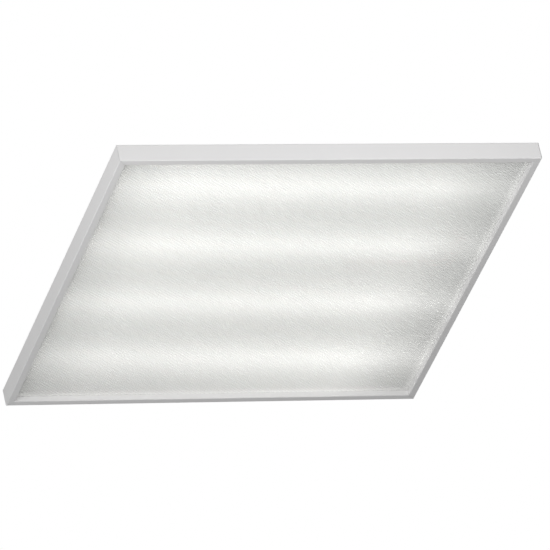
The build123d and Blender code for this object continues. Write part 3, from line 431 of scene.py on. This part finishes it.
def prism_plastic():
    """Clear-milky plastic; each facet shows the rows a little further off where it faces."""
    material, w = new_material("prismatic_plastic")
    place = w.place()
    x, y, _ = w.xyz(place)
    surface = w.add("ShaderNodeNewGeometry").outputs
    throw = w.math("MULTIPLY_ADD", x, facet_lean * facet_reach, -facet_reach)
    shift = w.add("ShaderNodeVectorMath", {0: surface["True Normal"], "Scale": throw},
                  operation="SCALE")
    seen = w.add("ShaderNodeVectorMath", {0: place, 1: shift.outputs[0]}, operation="ADD")
    inward = w.math("MULTIPLY", surface["Backfacing"], sheet_light)
    outward = w.math("SUBTRACT", sheet_light, inward)
    rim = w.ramp(w.math("MAXIMUM", x, y), *rim_fade, 0.0, rim_light, smooth=True)
    glow = w.math("ADD", glow_at(w, seen.outputs[0], sheet_contrast), rim)
    flow = w.ramp(w.noise(place, 5.0), 0.3, 0.7)
    w.surface(w.add("ShaderNodeBsdfPrincipled", {
        "Base Color": w.mix(flow, (0.82, 0.825, 0.81, 1), (0.80, 0.81, 0.795, 1)),
        "Roughness": w.ramp(w.noise(place, 60.0), 0.3, 0.7, 0.03, 0.06),
        "IOR": sheet_ior, "Transmission Weight": 0.3, "Emission Color": glow_colour,
        "Emission Strength": w.math("MULTIPLY", glow, outward),
    }))
    return material


def frosted_back():
    """The sheet's matt upper face."""
    material, w = new_material("frosted_upper_face")
    w.surface(w.add("ShaderNodeBsdfPrincipled", {
        "Base Color": (0.96, 0.965, 0.955, 1),
        "Roughness": w.ramp(w.noise(w.place(), 900.0), 0.3, 0.7, 0.5, 0.62),
        "IOR": sheet_ior, "Transmission Weight": 1.0,
    }))
    return material


# ---------------------------------------------------------------- mesh helpers

def piece_from(name, mesh):
    piece = bpy.data.objects.new(name, mesh)
    scene.collection.objects.link(piece)
    return piece


def run_tree(name, tree, values):
    """Runs a geometry tree with its named inputs set and keeps the result as a plain mesh."""
    holder = piece_from(name + "_maker", bpy.data.meshes.new(name + "_maker"))
    modifier = holder.modifiers.new("maker", "NODES")
    modifier.node_group = tree
    for item in tree.interface.items_tree:
        if item.item_type == "SOCKET" and item.in_out == "INPUT" and item.name in values:
            modifier[item.identifier] = values[item.name]
    bpy.context.view_layer.update()
    graph = bpy.context.evaluated_depsgraph_get()
    made = bpy.data.meshes.new_from_object(holder.evaluated_get(graph))
    made.name = name
    bpy.data.objects.remove(holder)
    return made


def new_tree(name, sizes, counts=()):
    """An empty geometry tree with named float and integer inputs and a material input."""
    tree = bpy.data.node_groups.new(name, "GeometryNodeTree")
    tree.interface.new_socket("Geometry", in_out="OUTPUT", socket_type="NodeSocketGeometry")
    for kind, labels in (("Float", sizes), ("Int", counts), ("Material", ["Material"])):
        for label in labels:
            tree.interface.new_socket(label, in_out="INPUT", socket_type="NodeSocket" + kind)
    w = Wiring(tree)
    return tree, w, w.add("NodeGroupInput").outputs


def end_tree(w, geometry, given):
    real = w.add("GeometryNodeRealizeInstances", {0: geometry})
    coloured = w.add("GeometryNodeSetMaterial", {0: real, "Material": given["Material"]})
    w.add("NodeGroupOutput", {0: coloured})


# ---------------------------------------------------------------- prismatic diffuser

prism_length = 6.7 * MM
prism_width = 5.36 * MM
prism_height = 1.2 * MM
prisms_across = 87
prisms_down = 109
margin_step = 0.4 * MM      # from the field's outermost corners to the plain strip's edge
weld_reach = 0.02 * MM


def prism_tree():
    """Diamond-shaped pyramids that point down, in two grids, the second in the first one's gaps."""
    sizes = ["Length", "Width", "Height", "Base"]
    tree, w, given = new_tree("prism_field", sizes, ["Across", "Down"])
    prism = w.add("GeometryNodeMeshCone", {
        "Vertices": 4, "Side Segments": 1, "Radius Top": 0.0, "Radius Bottom": 1.0, "Depth": 1.0,
    }, fill_type="NONE")
    half_length = w.math("MULTIPLY", given["Length"], 0.5)
    half_width = w.math("MULTIPLY", given["Width"], 0.5)
    down = w.math("MULTIPLY", given["Height"], -1.0)
    scale = w.add("ShaderNodeCombineXYZ", {0: half_length, 1: half_width, 2: down})
    shaped = w.add("GeometryNodeTransform", {"Geometry": prism.outputs["Mesh"], "Scale": scale})
    joined = w.add("GeometryNodeJoinGeometry")
    for fewer in (0, 1):
        across = w.math("SUBTRACT", given["Across"], fewer)
        lines = w.math("SUBTRACT", given["Down"], fewer)
        grid = w.add("GeometryNodeMeshGrid", {
            "Size X": w.math("MULTIPLY", w.math("SUBTRACT", across, 1), given["Length"]),
            "Size Y": w.math("MULTIPLY", w.math("SUBTRACT", lines, 1), given["Width"]),
            "Vertices X": across, "Vertices Y": lines,
        })
        w.feed(joined.inputs[0], w.add("GeometryNodeInstanceOnPoints", {
            "Points": grid.outputs["Mesh"], "Instance": shaped,
        }))
    lift = w.add("ShaderNodeCombineXYZ", {2: given["Base"]})
    placed = w.add("GeometryNodeTransform", {"Geometry": joined, "Translation": lift})
    end_tree(w, placed, given)
    return tree


def make_diffuser():
    """The sheet with its field of prisms, the plain border held by the frame, and a flat back."""
    base = diffuser_low.z + prism_height
    mesh = run_tree("prism_field", prism_tree(), {
        "Length": prism_length, "Width": prism_width, "Height": prism_height, "Base": base,
        "Across": prisms_across, "Down": prisms_down, "Material": prism_plastic(),
    })
    mesh.materials.append(frosted_back())
    piece = piece_from("prismatic_diffuser", mesh)
    bm = bmesh.new()
    bm.from_mesh(mesh)
    bmesh.ops.remove_doubles(bm, verts=bm.verts, dist=weld_reach)

    # the plain strip round the field, out to a straight edge
    zigzag = [e for e in bm.edges if e.is_boundary]
    reach_x = prism_length * prisms_across / 2 + margin_step
    reach_y = prism_width * prisms_down / 2 + margin_step
    drawn = {}
    for vert in dict.fromkeys(v for e in zigzag for v in e.verts):
        on_side = reach_x - abs(vert.co.x) < reach_y - abs(vert.co.y)
        x = copysign(reach_x, vert.co.x) if on_side else vert.co.x
        y = vert.co.y if on_side else copysign(reach_y, vert.co.y)
        drawn[vert] = bm.verts.new((x, y, base)), on_side
    for edge in zigzag:
        (start, start_side), (end, end_side) = (drawn[v] for v in edge.verts)
        ring = [edge.verts[0], start, end, edge.verts[1]]
        if start_side != end_side:
            x, y, _ = edge.verts[0].co
            ring.insert(2, bm.verts.new((copysign(reach_x, x), copysign(reach_y, y), base)))
        bm.faces.new(ring)

    def drawn_out(edges):
        made = bmesh.ops.extrude_edge_only(bm, edges=edges)["geom"]
        return ([v for v in made if isinstance(v, bmesh.types.BMVert)],
                [e for e in made if isinstance(e, bmesh.types.BMEdge) and e.is_boundary])

    # a step down round it, the flat border, and the sheet's sides
    verts, edges = drawn_out([e for e in bm.edges if e.is_boundary])
    for v in verts:
        v.co.z = diffuser_low.z
    verts, edges = drawn_out(edges)
    for v in verts:
        v.co.x *= diffuser_high.x / reach_x
        v.co.y *= diffuser_high.y / reach_y
    verts, edges = drawn_out(edges)
    for v in verts:
        v.co.z = diffuser_high.z
    for face in bmesh.ops.contextual_create(bm, geom=edges)["faces"]:
        face.material_index = 1
    bmesh.ops.recalc_face_normals(bm, faces=bm.faces)
    bm.to_mesh(mesh)
    bm.free()
    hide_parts("diffuser")
    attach(piece, "housing")


make_diffuser()


# ---------------------------------------------------------------- wound parts on the driver board

choke_turns = 34
points_per_turn = 14
choke_wire = 0.42 * MM      # half the wire's thickness
core_around, core_over = 40, 14


def ring_winding_tree():
    """One wire wound round and round a ring."""
    sizes = ["Ring Radius", "Coil Radius", "Wire Radius", "X", "Y", "Z"]
    tree, w, given = new_tree("ring_winding", sizes, ["Turns", "Points"])
    ring = w.add("GeometryNodeCurvePrimitiveCircle", {
        "Resolution": given["Points"], "Radius": given["Ring Radius"],
    })
    step = w.math("DIVIDE", w.add("GeometryNodeInputIndex"), given["Points"])
    around = w.math("MULTIPLY", step, 2 * pi)
    over = w.math("MULTIPLY", around, given["Turns"])
    coil = given["Coil Radius"]
    reach = w.math("MULTIPLY_ADD", w.math("COSINE", over), coil, given["Ring Radius"])
    spot = w.add("ShaderNodeCombineXYZ", {
        0: w.math("MULTIPLY_ADD", w.math("COSINE", around), reach, given["X"]),
        1: w.math("MULTIPLY_ADD", w.math("SINE", around), reach, given["Y"]),
        2: w.math("MULTIPLY_ADD", w.math("SINE", over), coil, given["Z"]),
    })
    wire = w.add("GeometryNodeSetPosition", {"Geometry": ring, "Position": spot})
    profile = w.add("GeometryNodeCurvePrimitiveCircle", {
        "Resolution": 6, "Radius": given["Wire Radius"],
    })
    tube = w.add("GeometryNodeCurveToMesh", {"Curve": wire, "Profile Curve": profile})
    end_tree(w, tube, given)
    return tree


def add_core(bm, middle, ring, inner):
    """The ferrite ring inside the winding, with the second material."""
    def spot(i, j):
        around, over = 2 * pi * i / core_around, 2 * pi * j / core_over
        reach = ring + inner * cos(over)
        return (middle.x + reach * cos(around), middle.y + reach * sin(around),
                middle.z + inner * sin(over))

    rings = [[bm.verts.new(spot(i, j)) for j in range(core_over)] for i in range(core_around)]
    for i in range(core_around):
        near, far = rings[i], rings[(i + 1) % core_around]
        for j in range(core_over):
            k = (j + 1) % core_over
            bm.faces.new((near[j], far[j], far[k], near[k])).material_index = 1


def make_choke():
    low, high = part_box("choke")
    coil = (high.z - low.z) / 2
    ring = (high.x - low.x) / 2 - coil
    middle = (low + high) / 2
    mesh = run_tree("choke_winding", ring_winding_tree(), {
        "Ring Radius": ring, "Coil Radius": coil - choke_wire, "Wire Radius": choke_wire,
        "X": middle.x, "Y": middle.y, "Z": middle.z, "Turns": choke_turns,
        "Points": choke_turns * points_per_turn, "Material": finishes["choke_copper"],
    })
    mesh.materials.append(finishes["ferrite"])
    bm = bmesh.new()
    bm.from_mesh(mesh)
    add_core(bm, middle, ring, coil - 2 * choke_wire)
    bm.to_mesh(mesh)
    bm.free()
    piece = piece_from("wound_choke", mesh)
    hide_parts("choke")
    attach(piece, "housing")


make_choke()


# ---------------------------------------------------------------- finishes put on the CAD nodes

for part in nodes.values():
    slot = part.data.materials[0].name.split(".")[0]
    if slot in finishes:
        part.data.materials[0] = finishes[slot]


# ---------------------------------------------------------------- stage, light and camera

surroundings = 0.30         # how strongly the white studio lights the part
white = (1, 1, 1, 1)


def seen_directly(w):
    """1 for rays that show the backdrop itself, 0 for those that only carry its light."""
    path = w.add("ShaderNodeLightPath")
    seen = w.math("MAXIMUM", path.outputs["Is Camera Ray"], path.outputs["Is Glossy Ray"])
    return w.math("MAXIMUM", seen, path.outputs["Is Transmission Ray"])


def make_world():
    world = bpy.data.worlds.new("studio")
    scene.world = world
    world.use_nodes = True
    world.node_tree.nodes.clear()
    w = Wiring(world.node_tree)
    soft = w.add("ShaderNodeBackground", {"Color": white, "Strength": surroundings})
    backdrop = w.add("ShaderNodeBackground", {"Color": white, "Strength": 1.0})
    chosen = w.add("ShaderNodeMixShader", {0: seen_directly(w), 1: soft, 2: backdrop})
    w.add("ShaderNodeOutputWorld", {"Surface": chosen})


def make_floor():
    """A plain pale floor, below every place that the camera looks from."""
    half, level = 60.0, -14.5
    plan = [(-half, -half), (half, -half), (half, half), (-half, half)]
    corners = [(x, y, level) for x, y in plan]
    mesh = bpy.data.meshes.new("floor")
    mesh.from_pydata(corners, [], [(0, 1, 2, 3)])
    floor = piece_from("floor", mesh)
    material, w = new_material("pale_floor")
    matt = w.add("ShaderNodeBsdfDiffuse", {"Color": (0.9, 0.9, 0.9, 1)})
    glowing = w.add("ShaderNodeEmission", {"Color": white, "Strength": 1.0})
    w.surface(w.add("ShaderNodeMixShader", {0: seen_directly(w), 1: matt, 2: glowing}))
    mesh.materials.append(material)


def area_lamp(name, place, size, power):
    data = bpy.data.lights.new(name, "AREA")
    data.size = size
    data.energy = power
    lamp = bpy.data.objects.new(name, data)
    scene.collection.objects.link(lamp)
    lamp.location = place
    lamp.rotation_mode = "QUATERNION"
    lamp.rotation_quaternion = (-Vector(place)).to_track_quat("-Z", "Y")
    lamp.visible_camera = False
    lamp.visible_transmission = False


def make_camera():
    """The photograph's view: a turn about an axis, and the lip face's centre before the lens."""
    turn_vector = Vector((0.97798, -0.32077, 0.16008))
    face_place = Vector((-5.43, 11.43, 11444.3)) * MM
    focal_px, frame_px = 8474.6, 550
    to_world = Matrix.Rotation(turn_vector.length, 3, turn_vector).transposed()
    data = bpy.data.cameras.new("camera")
    camera = bpy.data.objects.new("camera", data)
    scene.collection.objects.link(camera)
    scene.camera = camera
    axes = Matrix([to_world @ Vector(axis) for axis in ((1, 0, 0), (0, -1, 0), (0, 0, -1))])
    camera.matrix_world = Matrix.Translation(to_world @ -face_place) @ axes.transposed().to_4x4()
    data.sensor_width = 36
    data.lens = data.sensor_width * focal_px / frame_px
    data.clip_end = 200


make_world()
make_floor()
area_lamp("head_side_lamp", (0.153, -0.867, -0.187), 0.6, 2.03)
area_lamp("corner_lamp", (-1.187, -0.996, -0.723), 1.1, 15.2)
area_lamp("back_lamp", (0.9, 0.7, 2.0), 1.8, 26.0)
make_camera()
